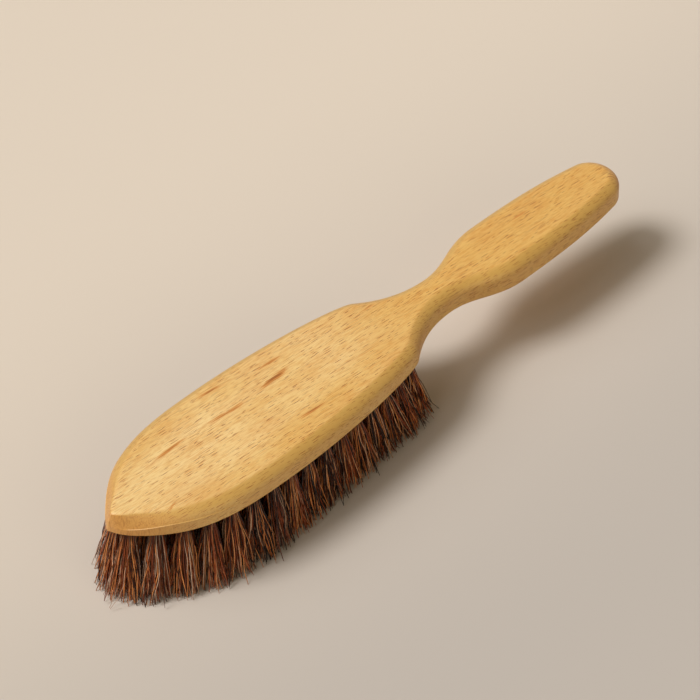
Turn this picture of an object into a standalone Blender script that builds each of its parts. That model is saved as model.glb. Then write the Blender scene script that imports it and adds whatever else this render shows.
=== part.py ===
"""A hand-held carpet brush: a one-piece beech stock and handle with plant-fibre tufts in drilled holes.

Metres, +Z up. The nose of the stock points to -X and the handle to +X. The brush stands on the
trimmed ends of its bristles, at Z = 0, with its box centred over the origin.
"""

import math
import random

import bmesh
import bpy
from mathutils import Vector
from mathutils.geometry import interpolate_bezier

# Outline of the wood, seen from above: places along the length are measured from the nose
LENGTH = 0.330
NOSE_TIP_WIDTH = 0.0063
NOSE_TIP_DEPTH = 0.0003
NOSE_ANGLE = math.radians(50)
STOCK_WIDEST_PLACE = 0.0813
STOCK_WIDTH = 0.0664
SHOULDER_PLACE = 0.1764
SHOULDER_WIDTH = 0.0437
SHOULDER_ANGLE = math.radians(38)
NECK_PLACE = 0.2114
NECK_WIDTH = 0.0182
GRIP_PLACE = 0.2518
GRIP_WIDTH = 0.0360
END_ROUNDING_DEPTH = 0.0107
END_WIDTH = 0.0269
END_ANGLE = math.radians(10)

# How far the curve runs straight out of each point of the outline and into the next one, as
# shares of the distance between the two
OUTLINE_REACH_SHARES = (
    (0.45, 0.20),
    (0.41, 0.43),
    (0.456, 0.073),
    (0.303, 0.398),
    (0.365, 0.432),
    (0.399, 0.351),
    (0.327, 0.412),
)
OUTLINE_STEPS = (3, 14, 14, 10, 10, 8, 6)

# Thickness and rounded edges of the wood
STOCK_THICKNESS = 0.0117
NECK_THICKNESS = 0.0137
GRIP_THICKNESS = 0.0145
END_DROP = 0.0007
STOCK_TOP_ROUNDING = 0.0066
STOCK_BOTTOM_ROUNDING = 0.0010
HANDLE_TOP_ROUNDING = 0.0059
HANDLE_BOTTOM_ROUNDING = 0.0024
TOP_ROUNDING_STEPS = 6
BOTTOM_ROUNDING_STEPS = 3

# Tufts: the root is packed in a blind hole, and the strands fan out below it
FREE_LENGTH = 0.038
TUFT_DIAMETER = 0.0052
ROOT_DEPTH = 0.0070
FIT_CLEARANCE = 0.0003
HOLE_SIDES = 12
HOLE_OVERRUN = 0.0020
STRANDS = 7
STRAND_GAP = 0.00025
TIP_SPREAD_DIAMETER = 0.0094
INNER_STRAND_SHARE = 0.58
LEAST_REACH_SHARE = 0.88
SPREAD_POWER = 1.3
BEND = 0.0008

# Each step of a strand: how far down it is, and the strand's width there, as shares of the whole
STRAND_STEP_SHARES = ((0.5, 0.80), (1, 0.58))

# How the tufts splay: outwards at the sides, forwards ahead of one place and backwards behind it,
# ever more so towards the heel
SIDE_SPLAY = math.radians(10)
NOSE_SPLAY = math.radians(12)
HEEL_SPLAY = math.radians(19.5)
HEEL_SPLAY_POWER = 1.5
UPRIGHT_PLACE = 0.062

# Rows of tufts, laid out from the rim of the stock
RIM_INSET = 0.0052
ROW_STEP = 0.0130
NOSE_PAIR_SPACING = 0.0072
OUTER_ROW_END = 0.1715
INNER_ROW_END = 0.1590
OUTER_PER_SIDE = 16
INNER_PER_SIDE = 9
CENTRE_TUFTS = 8
ROW_EASE_SHARE = 0.10
LEAST_HOLE_WALL = 0.0008

BEECH_COLOUR = (0.72, 0.43, 0.15, 1)
FIBRE_COLOUR = (0.15, 0.045, 0.02, 1)
BEECH_ROUGHNESS = 0.45
FIBRE_ROUGHNESS = 0.65
SMOOTH_ANGLE = math.radians(35)
STRAND_SEED = 7


def clear_scene():
    """Removes every object, so that the brush stands alone."""
    for thing in list(bpy.data.objects):
        bpy.data.objects.remove(thing, do_unlink=True)


def material(name, colour, roughness):
    made = bpy.data.materials.new(name)
    made.use_nodes = True
    shader = made.node_tree.nodes["Principled BSDF"]
    shader.inputs["Base Color"].default_value = colour
    shader.inputs["Roughness"].default_value = roughness
    shader.inputs["Metallic"].default_value = 0
    return made


def add_object(name, mesh, finish, parent):
    """An object of its own for one sub-part, smooth over its round faces."""
    mesh.materials.append(finish)
    mesh.shade_smooth()
    mesh.set_sharp_from_angle(angle=SMOOTH_ANGLE)
    made = bpy.data.objects.new(name, mesh)
    bpy.context.scene.collection.objects.link(made)
    made.parent = parent
    return made


def mesh_from(shape, name):
    """Turns a bmesh into a mesh whose faces look outwards."""
    bmesh.ops.recalc_face_normals(shape, faces=shape.faces)
    mesh = bpy.data.meshes.new(name)
    shape.to_mesh(mesh)
    shape.free()
    return mesh


def heading(angle):
    return Vector((math.cos(angle), math.sin(angle), 0))


def at_index(values, index):
    """A value of a list, or one between two of them where the index is a broken number."""
    low = min(int(index), len(values) - 2)
    return values[low] + (values[low + 1] - values[low]) * (index - low)


def index_where(values, wanted):
    """Where a rising list first reaches the wanted value, as a whole or broken number."""
    for i, (low, high) in enumerate(zip(values, values[1:])):
        if high >= wanted:
            return i + max(wanted - low, 0) / (high - low)
    return len(values) - 1


class Outline:
    """The wood's edge from nose to handle end on the +Y side, as a chain of smooth curves."""

    def __init__(self):
        knots = (
            (Vector((0, 0, 0)), heading(math.pi / 2)),
            (Vector((NOSE_TIP_DEPTH, NOSE_TIP_WIDTH / 2, 0)), heading(NOSE_ANGLE)),
            (Vector((STOCK_WIDEST_PLACE, STOCK_WIDTH / 2, 0)), heading(0)),
            (Vector((SHOULDER_PLACE, SHOULDER_WIDTH / 2, 0)), heading(-SHOULDER_ANGLE)),
            (Vector((NECK_PLACE, NECK_WIDTH / 2, 0)), heading(0)),
            (Vector((GRIP_PLACE, GRIP_WIDTH / 2, 0)), heading(0)),
            (Vector((LENGTH - END_ROUNDING_DEPTH, END_WIDTH / 2, 0)), heading(-END_ANGLE)),
            (Vector((LENGTH, 0, 0)), heading(-math.pi / 2)),
        )
        spans = list(zip(knots, knots[1:]))
        self.points = [knots[0][0]]
        for (start, end), shares, steps in zip(spans, OUTLINE_REACH_SHARES, OUTLINE_STEPS):
            distance = (end[0] - start[0]).length
            out_of_start = start[0] + start[1] * distance * shares[0]
            into_end = end[0] - end[1] * distance * shares[1]
            curve = interpolate_bezier(start[0], out_of_start, into_end, end[0], steps + 1)
            self.points += curve[1:]
        self.widest = OUTLINE_STEPS[0] + OUTLINE_STEPS[1]
        self.inward = [self.inward_at(i) for i in range(len(self.points))]

    def half_width_at(self, place):
        """Half the wood's width at a place along its length."""
        index = index_where([point.x for point in self.points], place)
        return at_index([point.y for point in self.points], index)

    def inward_at(self, index):
        """The unit vector into the wood, square to the edge."""
        if index in (0, len(self.points) - 1):
            return heading(0 if index == 0 else math.pi)
        along = self.points[index + 1] - self.points[index - 1]
        return Vector((along.y, -along.x, 0)).normalized()

    def inset_point(self, station, depth_at):
        """The edge at a station, a whole or broken number, moved into the wood."""
        edge = at_index(self.points, station)
        inward = at_index(self.inward, station).normalized()
        return edge + inward * depth_at(edge.x)

    def first_station(self, depth_at):
        """Where the inset edge starts: near the nose the two sides meet on the centre line."""
        heights = [self.inset_point(i, depth_at).y for i in range(self.widest + 1)]
        lowest = heights.index(min(heights))
        return lowest + index_where(heights[lowest:], 0)

    def inset(self, depth_at):
        """The edge moved into the wood, as one point per station, drawn together past the nose."""
        first = self.first_station(depth_at)
        row = []
        for station in range(len(self.points)):
            moved = station
            if station < self.widest:
                moved = first + station * (self.widest - first) / self.widest
            row.append(self.inset_point(moved, depth_at))
        row[0].y = 0
        row[-1].y = 0
        return row


def eased(start, end, place):
    """Rises smoothly from 0 to 1 between two places along the length."""
    share = min(max((place - start) / (end - start), 0), 1)
    return share * share * (3 - 2 * share)


def along_wood(stock_value, handle_value):
    """A size of the wood that changes from the stock's to the handle's over the neck."""
    def size(place):
        change = eased(SHOULDER_PLACE, NECK_PLACE, place)
        return stock_value + (handle_value - stock_value) * change
    return size


top_rounding_at = along_wood(STOCK_TOP_ROUNDING, HANDLE_TOP_ROUNDING)
bottom_rounding_at = along_wood(STOCK_BOTTOM_ROUNDING, HANDLE_BOTTOM_ROUNDING)


def top_at(place):
    """Height of the wood's upper face, which sinks a little towards the handle's end."""
    drop = END_DROP * eased(GRIP_PLACE, LENGTH, place)
    return FREE_LENGTH + STOCK_THICKNESS - drop


def thickness_at(place):
    """The wood thickens from the stock to the neck, and a little more to the grip."""
    to_neck = (NECK_THICKNESS - STOCK_THICKNESS) * eased(SHOULDER_PLACE, NECK_PLACE, place)
    to_grip = (GRIP_THICKNESS - NECK_THICKNESS) * eased(NECK_PLACE, GRIP_PLACE, place)
    return STOCK_THICKNESS + to_neck + to_grip


def bottom_at(place):
    return FREE_LENGTH + STOCK_THICKNESS - thickness_at(place)


def wood_rings(outline):
    """Rows of points round the wood, from the edge of its upper face down to its lower one."""
    rings = []
    for step in range(TOP_ROUNDING_STEPS + 1):
        turn = step / TOP_ROUNDING_STEPS * math.pi / 2
        inset = outline.inset(lambda place: top_rounding_at(place) * (1 - math.sin(turn)))
        for point, edge in zip(inset, outline.points):
            point.z = top_at(edge.x) - top_rounding_at(edge.x) * (1 - math.cos(turn))
        rings.append(inset)
    for step in range(BOTTOM_ROUNDING_STEPS + 1):
        turn = step / BOTTOM_ROUNDING_STEPS * math.pi / 2
        inset = outline.inset(lambda place: bottom_rounding_at(place) * (1 - math.cos(turn)))
        for point, edge in zip(inset, outline.points):
            point.z = bottom_at(edge.x) + bottom_rounding_at(edge.x) * (1 - math.sin(turn))
        rings.append(inset)
    return rings


def closed_ring(shape, row):
    """Vertices for a row of the +Y side, and for its mirror image back to the nose."""
    there = [shape.verts.new(point) for point in row]
    back = [shape.verts.new((point.x, -point.y, point.z)) for point in row[-2:0:-1]]
    return there + back


def cap_ring(shape, ring):
    """Closes a ring with a ladder of faces from one side to the other."""
    last = len(ring) // 2
    for i in range(last):
        corners = [ring[i], ring[i + 1], ring[-i - 1], ring[-i]]
        shape.faces.new(list(dict.fromkeys(corners)))


def wood_mesh(outline):
    shape = bmesh.new()
    rings = [closed_ring(shape, row) for row in wood_rings(outline)]
    for upper, lower in zip(rings, rings[1:]):
        for i in range(len(upper)):
            after = (i + 1) % len(upper)
            shape.faces.new((upper[i], upper[after], lower[after], lower[i]))
    cap_ring(shape, rings[0])
    cap_ring(shape, rings[-1])
    return mesh_from(shape, "handle_stock")


def splay_of(outline, place):
    """How far a tuft at this place of the underside leans for each unit that it reaches down."""
    across = place.y / outline.half_width_at(place.x) * math.tan(SIDE_SPLAY)
    if place.x < UPRIGHT_PLACE:
        along = (place.x / UPRIGHT_PLACE - 1) * math.tan(NOSE_SPLAY)
    else:
        share = (place.x - UPRIGHT_PLACE) / (OUTER_ROW_END - UPRIGHT_PLACE)
        along = share ** HEEL_SPLAY_POWER * math.tan(HEEL_SPLAY)
    return Vector((along, across, -1))


def row_end(row, widest, end_place):
    """Where a row ends: at its place, or sooner where the wood draws it in on the centre row."""
    least_spacing = TUFT_DIAMETER + 2 * FIT_CLEARANCE + LEAST_HOLE_WALL
    drawn_in = index_where([-point.y for point in row[widest:]], -least_spacing)
    return min(index_where([point.x for point in row], end_place), widest + drawn_in)


def row_places(outline, depth, first_half_width, end_place, count):
    """Places along the rim's inset from nose to heel, a little closer together at the heel."""
    row = outline.inset(lambda place: depth)
    run = [0]
    for before, after in zip(row, row[1:]):
        run.append(run[-1] + (after - before).length)
    start = at_index(run, index_where([point.y for point in row], first_half_width))
    end = at_index(run, row_end(row, outline.widest, end_place))
    places = []
    for k in range(count):
        share = k / (count - 1)
        share += ROW_EASE_SHARE * share * (1 - share)
        places.append(at_index(row, index_where(run, start + (end - start) * share)))
    return places


def side_tufts(row, places):
    """The left and right tuft of a row at each place. The holder's left hand side is at -Y."""
    named = []
    for k, place in enumerate(places, start=1):
        named.append((f"tuft_{row}_left_{k:02d}", Vector((place.x, -place.y, 0))))
        named.append((f"tuft_{row}_right_{k:02d}", place))
    return named


def tuft_places(outline):
    """Every tuft's name and its place on the underside."""
    outer = row_places(
        outline, RIM_INSET, NOSE_PAIR_SPACING / 2, OUTER_ROW_END, OUTER_PER_SIDE)
    nose, *inner = row_places(
        outline, RIM_INSET + ROW_STEP, 0, INNER_ROW_END, INNER_PER_SIDE + 1)
    named = side_tufts("outer", outer) + [("tuft_inner_nose", nose)] + side_tufts("inner", inner)
    for k in range(1, CENTRE_TUFTS + 1):
        along = nose.x + (inner[-1].x - nose.x) * k / CENTRE_TUFTS
        named.append((f"tuft_centre_{k}", Vector((along, 0, 0))))
    return named


def slanted_column(shape, place, splay, radius, sides, above, below):
    """A column that leans with its tuft, from above a place on the underside to below it."""
    levels = []
    for height in (above, -below):
        centre = place - splay * height
        ring = []
        for k in range(sides):
            around = heading(2 * math.pi * k / sides)
            ring.append(shape.verts.new(centre + around * radius))
        levels.append(ring)
    upper, lower = levels
    for k in range(sides):
        after = (k + 1) % sides
        shape.faces.new((upper[k], upper[after], lower[after], lower[k]))
    shape.faces.new(upper)
    return shape.faces.new(lower)


def hole_cutters(outline, places):
    """The blind holes of all tufts as one cutting shape."""
    shape = bmesh.new()
    radius = (TUFT_DIAMETER / 2 + FIT_CLEARANCE) / math.cos(math.pi / HOLE_SIDES)
    for _, place in places:
        exit_place = Vector((place.x, place.y, FREE_LENGTH))
        slanted_column(shape, exit_place, splay_of(outline, place), radius, HOLE_SIDES,
                       ROOT_DEPTH + FIT_CLEARANCE, HOLE_OVERRUN)
    return mesh_from(shape, "tuft_holes")


def place_face(face, centre, scale):
    """Puts a strand's end face round a new centre, drawn together by a scale."""
    middle = face.calc_center_median()
    for vert in face.verts:
        vert.co = centre + (vert.co - middle) * scale


def grow_strand(shape, face, splay, number, chance):
    """Draws one strand out of its part of the root, bowed a little, down to its trimmed end."""
    root = face.calc_center_median()
    outward = root.normalized()
    sideways = Vector((-outward.y, outward.x, 0))
    bow = sideways * BEND * chance.uniform(-1, 1)
    reach_share = INNER_STRAND_SHARE if number % 2 else 1
    tip_reach = TIP_SPREAD_DIAMETER / 2 * reach_share * chance.uniform(LEAST_REACH_SHARE, 1)
    width_share = 1
    for drop_share, next_width_share in STRAND_STEP_SHARES:
        reach = root.length + (tip_reach - root.length) * drop_share ** SPREAD_POWER
        centre = splay * FREE_LENGTH * drop_share + outward * reach + bow * (1 - drop_share)
        face = bmesh.ops.extrude_discrete_faces(shape, faces=[face])["faces"][0]
        place_face(face, centre, next_width_share / width_share)
        width_share = next_width_share


def tuft_mesh(name, splay, chance):
    """A packed root and its strands, round the tuft's place on the underside."""
    shape = bmesh.new()
    middle = Vector((0, 0, 0))
    lower = slanted_column(shape, middle, splay, TUFT_DIAMETER / 2, STRANDS, ROOT_DEPTH, 0)
    sectors = bmesh.ops.poke(shape, faces=[lower])["faces"]
    bmesh.ops.inset_individual(shape, faces=sectors, thickness=STRAND_GAP)
    for number, sector in enumerate(sectors):
        grow_strand(shape, sector, splay, number, chance)
    return mesh_from(shape, name)


def cut_holes(wood, cutters):
    """Drills the wood with the cutters, which stay as a wire guide."""
    guide = bpy.data.objects.new("tuft_hole_guide", cutters)
    bpy.context.scene.collection.objects.link(guide)
    guide.parent = wood.parent
    guide.hide_render = True
    guide.display_type = "WIRE"
    cut = wood.modifiers.new("tuft holes", "BOOLEAN")
    cut.operation = "DIFFERENCE"
    cut.solver = "EXACT"
    cut.object = guide


def centre_over_origin(frame, tufts):
    """Moves the whole brush so that its box is centred: the nose tufts reach past the wood."""
    front = min(tuft.location.x + corner[0] for tuft in tufts for corner in tuft.bound_box)
    frame.location.x = -(front + LENGTH) / 2


def build_brush():
    clear_scene()
    beech = material("varnished_beech", BEECH_COLOUR, BEECH_ROUGHNESS)
    fibre = material("plant_fibre", FIBRE_COLOUR, FIBRE_ROUGHNESS)
    frame = bpy.data.objects.new("brush_frame", None)
    bpy.context.scene.collection.objects.link(frame)
    outline = Outline()
    places = tuft_places(outline)
    wood = add_object("handle_stock", wood_mesh(outline), beech, frame)
    cut_holes(wood, hole_cutters(outline, places))
    chance = random.Random(STRAND_SEED)
    tufts = []
    for name, place in places:
        mesh = tuft_mesh(name, splay_of(outline, place), chance)
        tuft = add_object(name, mesh, fibre, frame)
        tuft.location = (place.x, place.y, FREE_LENGTH)
        tufts.append(tuft)
    centre_over_origin(frame, tufts)


build_brush()
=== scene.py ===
"""Looks of a hand-held carpet brush: beech stock and handle, stiff fibre tufts and a pale floor."""

import math
import random

import bmesh
import bpy
from bpy.props import FloatProperty, FloatVectorProperty, IntProperty, PointerProperty
from mathutils import Matrix, Vector
from mathutils.geometry import interpolate_bezier


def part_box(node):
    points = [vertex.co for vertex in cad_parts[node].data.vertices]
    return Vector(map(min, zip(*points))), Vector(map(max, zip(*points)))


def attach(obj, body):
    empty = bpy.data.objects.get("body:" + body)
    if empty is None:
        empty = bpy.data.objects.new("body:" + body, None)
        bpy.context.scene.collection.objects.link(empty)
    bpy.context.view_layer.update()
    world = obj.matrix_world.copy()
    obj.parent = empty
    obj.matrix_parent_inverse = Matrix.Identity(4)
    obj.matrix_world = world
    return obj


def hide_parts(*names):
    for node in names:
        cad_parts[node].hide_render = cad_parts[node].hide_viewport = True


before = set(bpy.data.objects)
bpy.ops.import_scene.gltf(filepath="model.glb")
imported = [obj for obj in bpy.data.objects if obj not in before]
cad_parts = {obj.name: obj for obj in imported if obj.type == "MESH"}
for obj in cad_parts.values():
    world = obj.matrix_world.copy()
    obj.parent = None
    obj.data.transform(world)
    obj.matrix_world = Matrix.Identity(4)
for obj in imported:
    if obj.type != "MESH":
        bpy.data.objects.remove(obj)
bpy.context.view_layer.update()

bl_info = {
    "name": "Carpet brush looks",
    "version": (1, 0, 0),
    "blender": (4, 5, 0),
    "location": "3D View > Sidebar > Brush",
    "description": "Builds the beech, the fibre tufts and the stage of a hand-held carpet brush "
                   "round its CAD frame",
    "category": "Object",
}

# What the CAD frame gives: its box, the place of its wood and the names of its tufts
WOOD_NODE = "handle_stock"
WOOD_LOW, WOOD_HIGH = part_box(WOOD_NODE)
TUFT_NODES = sorted(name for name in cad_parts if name.startswith("tuft_"))
BODY = "root"

# Outline of the wood seen from above: place from the nose, half width and heading in degrees
LENGTH = WOOD_HIGH.x - WOOD_LOW.x
OUTLINE = (
    (0.0, 0.0, 84),
    (0.0004, 0.0013, 66),
    (0.0070, 0.01022, 45.4),
    (0.0813, 0.0332, 0),
    (0.1764, 0.02185, -38),
    (0.2114, 0.0091, 0),
    (0.2518, 0.0180, 0),
    (LENGTH - 0.0107, 0.01345, -10),
    (LENGTH, 0.0, -90),
)

# How far each curve between two places keeps to its headings, as shares of their distance
OUTLINE_REACH_SHARES = (
    (0.42, 0.36),
    (0.36, 0.34),
    (0.374, 0.431),
    (0.456, 0.073),
    (0.303, 0.398),
    (0.365, 0.432),
    (0.399, 0.351),
    (0.327, 0.412),
)
OUTLINE_STEPS = (6, 14, 30, 34, 26, 26, 22, 20)

# The nose's blunt tip, the ridge that it narrows to further in, and how far the nose leans to +Y
TIP_STEPS = OUTLINE_STEPS[0]
TIP_DEPTH_SHARE = 0.12
RIDGE_HALF_WIDTH = 0.00015
NOSE_SHIFT, NOSE_SHIFT_FADE, TOP_SHIFT_SHARE = 0.0022, 0.0030, 0.25

# Thickness and edges of the wood: the values at the stock, at the neck and at the grip
THICKNESS = (0.0117, 0.0137, 0.0145)
RIM_REACH = (0.0043, 0.0051, 0.0041)
RIM_DROP = (0.0064, 0.0058, 0.0058)
RIM_START = (math.radians(28), math.radians(18), math.radians(27))
BOTTOM_ROUNDING = (0.0010, 0.0024, 0.0024)
SHOULDER_PLACE, NECK_PLACE, GRIP_PLACE = 0.1764, 0.2114, 0.2518

# How much lower the top is at the end of the handle
END_DROP = 0.0007

# How long the rim's curve keeps to its two slopes: usual share, and the most at either end
RIM_HANDLE_SHARE = 0.38
UPPER_HANDLE_CAP, LOWER_HANDLE_CAP = 0.62, 0.80

# How finely the edges are built, how near to them the flat faces begin, and what counts as sharp
EDGE_STEPS, TOP_STEPS, BOTTOM_STEPS = 5, 12, 6
SUPPORT, CREASE_SUPPORT = 0.0005, 0.0003
SHARP_ANGLE = math.radians(35)

# The nose's crease, its narrower and deeper rim, and the ledge that shows as a fine line
CREASE_START_PLACE, CREASE_END_PLACE = 0.006, 0.066
CREASE_SHARE = 0.25
NOSE_REACH, NOSE_REACH_FADE = 0.0011, 0.006
NOSE_DROP, BOW_DROP = 0.0078, 0.0052
NOSE_DROP_END_PLACE, BOW_DROP_END_PLACE = 0.022, 0.085
LEDGE, LEDGE_DROP = 0.00026, 0.00016

# Drilled holes of the tufts
HOLE_SIDES = 20
HOLE_CLEARANCE = 0.00025
HOLE_OVERRUN = 0.002

# How the CAD's tufts are measured: decimals of a place, and how far from a level its points may lie
PLACE_DECIMALS = 6
LEVEL_MARGIN = 0.0005

# How finely a fibre is built
FIBRE_STEPS = 8
FIBRE_SIDES = 4

# How far up its hole a fibre starts, how far it ends above the floor, and how rarely it is cut short
ROOT_DEPTH, FLOOR_GAP, TRIM_POWER = 0.0025, 0.0003, 2.5

# Clumps in which a tuft's fibres draw together, and how far a fibre goes towards one at most
CLUMPS, CLUMP_PULL = 11, 0.4

# Up to each share of the fibres, how many times the usual bend they have
BENDS = ((0.05, 4.5), (0.18, 2.5), (1, 1))

# Least and most of a fibre's wave, number of waves, width, and thickness for its width
WAVE_RANGE, WAVE_COUNT_RANGE = (0.3, 1.6), (0.5, 1.6)
WIDTH_RANGE, FLATNESS_RANGE = (0.7, 1.15), (0.55, 0.95)

# How a fibre opens out on its way down, curves back and tapers
OPENING_POWER, CURVE_BACK, TAPER = 0.92, 0.55, 0.26

# How much less the tufts lean outwards towards the heel, and where that begins and is full
UPRIGHT_SHARE = 0.7
UPRIGHT_PLACES = (0.055, 0.125)

# How much less the last tufts spread, and where that begins and is full
GATHER_SHARE = 0.30
GATHER_PLACES = (0.155, 0.176)

# Tones of the fibres, from 0 for dark to 1 for pale: how they are spread, and over how much
TONE_SPREAD, TONE_SPAN = (0.36, 0.54), 0.98

# How much paler the fibres are at the nose, where that fades out, and how much darker the inner rows' tones
# are made, as painted shade
NOSE_LIFT = 0.07
NOSE_LIFT_PLACES = (0.02, 0.10)
INNER_PAINTED_SHADE = -0.10

# How much thinner the palest fibres are, and the tone from which that begins
PALE_THINNING, PALE_START = 0.25, 0.75

# A fibre's cell of the map: margin, span, share of the sides, and the places and size of the ends
MAP_MARGIN, MAP_SPAN = 0.04, 0.92
MAP_SIDES_SHARE = 0.85
MAP_ENDS_PLACE, MAP_ENDS_SIZE = 0.88, 0.12
MAP_UPPER_END, MAP_LOWER_END = 0.85, 0

# Noises: cells a metre lengthwise, across and upwards, then detail and roughness
BAND_NOISE = ((12, 150, 150), 2.0, 0.5)
CLOUD_NOISE = ((40, 90, 90), 2.0, 0.5)
FINE_NOISE = ((190, 2600, 1300), 3.0, 0.6)
HAIR_NOISE = ((110, 2900, 1300), 1.0, 0.5)
FRAY_NOISE = ((90, 2200, 2200), 3.0, 0.5)
END_NOISE = ((1700, 1700, 320), 3.0, 0.6)
MOTTLE_NOISE = ((900, 900, 160), 2.0, 0.5)

# Ramps of the wood: two values, and what they give, which is 0 and 1 where it isn't said
BANDS = (0.30, 0.72)
HANDLE_AMBER = (-0.055, 0.040, 0.0, 0.88)
CLOUDS = (0.35, 0.7, 0.0, 0.14)
FINE_GRAIN = (0.44, 0.62, 0.0, 0.42)
HAIRLINES = (0.62, 0.72, 0.0, 0.46)
# Painted shade: how much of the darker, warmer side colour the rim and sides get by the way they face
RIM_PAINTED_SHADE = (0.15, 0.55, 0.0, 0.85)
UPRIGHT_PAINTED_SHADE = (0.75, 1.0, 1.0, 0.35)
ENDS = (0.20, 0.85, 0.0, 0.60)
END_STREAKS = (0.44, 0.68, 0.0, 0.75)
END_PORES = (0.35, 0.75, 1.0, 0.25)
FRAY = (0.3, 0.7, -0.25, 0.45)
MARK_EDGE = (1.2, 0.1)
MARK_BODY = (0.0, 0.6)
MARK_HEART = (0.50, 0.95, 0.0, 0.9)
DULL = (0.3, 1.4)

# How far the varnish's dullness goes below and above its usual value
DULL_SHIFTS = (-0.05, 0.16)

# Where the top's edges bow out most, before the brush's middle, and how strongly they do
WIDEST_BEFORE_MIDDLE, BOW = 0.082, 1.8

# Ramps of the top's deeper zones: towards the edge where there is one, then along the brush
MIDDLE_ZONE = ((-0.094, -0.066, 0.0, 0.36), (-0.018, -0.040))
NEAR_ZONE = ((0.011, 0.024, 0.0, 0.5), (0.02, -0.01), (-0.150, -0.120, 0.2, 1.0))
FAR_ZONE = ((0.010, 0.026, 0.12, 0.65), (-0.045, -0.115))

# The most that the zones together deepen the wood
WARMEST = 0.8

# Flecks: shares of the usual width and length, share of the cells that hold one, and their shift
LONG_FLECKS = (1.0, 1.2, 0.36, (3.1, 1.147, 0.0))
SHORT_FLECKS = (0.8, 0.6, 0.50, (8.7, 3.219, 0.0))

# A fleck's share of its cell's length, the cell's width in flecks, and how flecks fade
FLECK_CELL_SHARE, FLECK_CELL_WIDTHS = 0.7, 4
FLECK_EDGE, FLECK_CHANCE_EDGE, FLECK_DEPTHS = (1.02, 0.58), 0.02, (0.2, 1.0, 0.2, 1.0)

# How far the flecks are moved, one way on each side, so that the sides aren't mirror images
SIDE_SHIFT = 0.37

# Larger brown marks in the stock's top: place along and across, length, width, degrees, strength
BROWN_MARKS = (
    (-0.0442, 0.0183, 0.0170, 0.0022, -6, 0.70),
    (-0.0500, 0.0096, 0.0265, 0.0036, 4, 1.0),
    (-0.0764, 0.0245, 0.0190, 0.0024, -4, 0.80),
    (-0.0836, 0.0091, 0.0280, 0.0028, -3, 0.90),
    (-0.0521, -0.0176, 0.0210, 0.0024, -2, 0.85),
    (-0.1166, 0.0106, 0.0320, 0.0023, 3, 0.80),
    (-0.1402, -0.0159, 0.0090, 0.0016, 13, 0.60),
    (0.0128, 0.0115, 0.0130, 0.0016, -3, 0.40),
    (0.1083, 0.0050, 0.0160, 0.0016, 0, 0.55),
)

# How deep a mark goes into the wood
MARK_DEPTH = 0.004

# Ramps of the fibres, and the tones at which their colours stand
MOTTLE = (0.3, 0.7, 0.0, 0.38)
MOTTLE_DULL = (0.3, 0.7, 0.19, 0.36)
ROOT_SHADE = (0.34, 0.0, 0.0, 0.62)
TONE_STOPS = (0.04, 0.32, 0.50, 0.86, 1.0)

# Strength and height of the bumps, and the fine grain's share in them
WOOD_BUMP, FIBRE_BUMP = (0.35, 0.00006), (0.4, 0.00005)
FINE_HEIGHT = 0.45

# Gloss of the fibres and the floor, and how dull the floor is
FIBRE_GLOSS, FLOOR_GLOSS = 0.38, 0.2
FLOOR_DULLNESS = 0.9

# Where the floor turns from its darker near colour to its far one, a painted falloff of light, and how many
# faces it has along a side
FLOOR_PAINTED_FALLOFF = (-0.17, 0.20)
FLOOR_CELLS = 8

# Camera of the photograph
CAMERA_TURN = math.radians(45.567)
CAMERA_RISE = math.radians(43.951)
CAMERA_DISTANCE = 2.60439
CAMERA_SIDE, CAMERA_UP = 0.008296, 0.008042
CAMERA_TARGET = Vector(((WOOD_LOW.x + WOOD_HIGH.x) / 2, 0.0, WOOD_HIGH.z))
CAMERA_CLIP = (0.1, 100)
FOCAL_LENGTH, SENSOR_WIDTH = 290.53, 36.0

# Where the lamps stand, seen from the brush, and the colours of the light
LAMP_PLACE = Vector((-0.62, 0.35, 1)).normalized()
FILL_PLACE = Vector((-0.25, -1, 0.28)).normalized()
LAMP_DISTANCE = 2
LAMP_COLOUR = (0.985, 1.0, 1.05)
FILL_COLOUR = (1.0, 0.95, 0.76)
SURROUNDINGS_COLOUR = (1.0, 0.82, 0.58)


def paint(red, green, blue):
    """A colour given as on screen, turned into the linear values that shaders take."""
    shares = [value / 255 for value in (red, green, blue)]
    return tuple(s / 12.92 if s <= 0.04045 else ((s + 0.055) / 1.055) ** 2.4 for s in shares)


def colour_property(name, description, shade):
    return FloatVectorProperty(name=name, description=description, default=paint(*shade),
                               subtype="COLOR", size=3, min=0, max=1)


def length_property(name, description, metres):
    return FloatProperty(name=name, description=description, default=metres,
                         unit="LENGTH", min=0, precision=5)


def angle_property(name, description, degrees):
    return FloatProperty(name=name, description=description, default=math.radians(degrees), subtype="ANGLE")


def share_property(name, description, default, **limits):
    return FloatProperty(name=name, description=description, default=default,
                         subtype="FACTOR", min=0, **limits)


def count_property(name, description, default):
    return IntProperty(name=name, description=description, default=default, min=1)


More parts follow.
